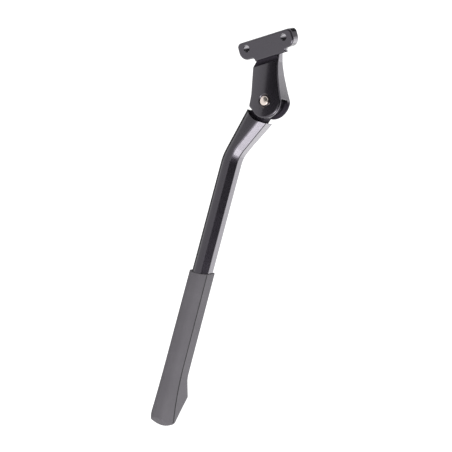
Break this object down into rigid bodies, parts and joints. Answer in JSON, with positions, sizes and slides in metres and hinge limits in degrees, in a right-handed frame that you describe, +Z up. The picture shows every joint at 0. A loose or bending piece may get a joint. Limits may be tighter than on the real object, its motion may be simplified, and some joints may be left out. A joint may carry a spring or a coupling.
{
  "type": "bicycle kickstand",
  "caption": "Side-mounted bicycle kickstand with a bolt-on forged bracket, a folding bevelled leg and a sliding plastic foot with a latch.",
  "frame": {"origin": "midway between the two bolt holes, on the face that meets the bicycle frame", "axes": "+X to the rear of the bicycle, +Y from the outer side towards the bicycle, +Z up"},
  "size_m": [0.0938, 0.0893, 0.3342],
  "materials": {
    "black_coated_aluminium": "satin black coat",
    "plated_steel": "bright plated",
    "plain_steel": "ground",
    "spring_steel": "drawn wire",
    "nylon": "natural",
    "grey_plastic": "fine matt texture",
    "dark_plastic": "matt"
  },
  "bodies": {
    "mount": {"bracket": "black_coated_aluminium", "pivot_pin": "plated_steel", "thrust_washer_front": "nylon", "thrust_washer_rear": "nylon", "detent_spring": "spring_steel"},
    "plunger": {"detent_plunger": "plain_steel"},
    "stand_leg": {"leg": "black_coated_aluminium"},
    "stand_foot": {"foot": "grey_plastic", "latch_pin": "plated_steel", "latch_spring": "spring_steel"},
    "latch": {"latch_lever": "dark_plastic"}
  },
  "joints": [
    {"name": "leg_fold", "type": "hinge", "parent": "mount", "child": "stand_leg", "pos_m": [0.0052, -0.009, -0.0493], "axis": [0, -0.9659, 0.2588], "range_deg": [0, 98]},
    {"name": "plunger_travel", "type": "slide", "parent": "mount", "child": "plunger", "axis": [0, 0.2588, 0.9659], "range_m": [-0.0008, 0], "stiffness_N_per_m": 300, "springref_m": -0.0008, "deforming": ["detent_spring"]},
    {"name": "foot_slide", "type": "slide", "parent": "stand_leg", "child": "stand_foot", "axis": [-0.1305, -0.2566, -0.9577], "range_m": [-0.015, 0.015]},
    {"name": "latch_press", "type": "hinge", "parent": "stand_foot", "child": "latch", "pos_m": [-0.04106, -0.04731, -0.22532], "axis": [0.9914, -0.0338, -0.1261], "range_deg": [0, 9], "stiffness_Nm_per_rad": 0.02, "springref_deg": -5.73, "deforming": ["latch_spring"]}
  ]
}
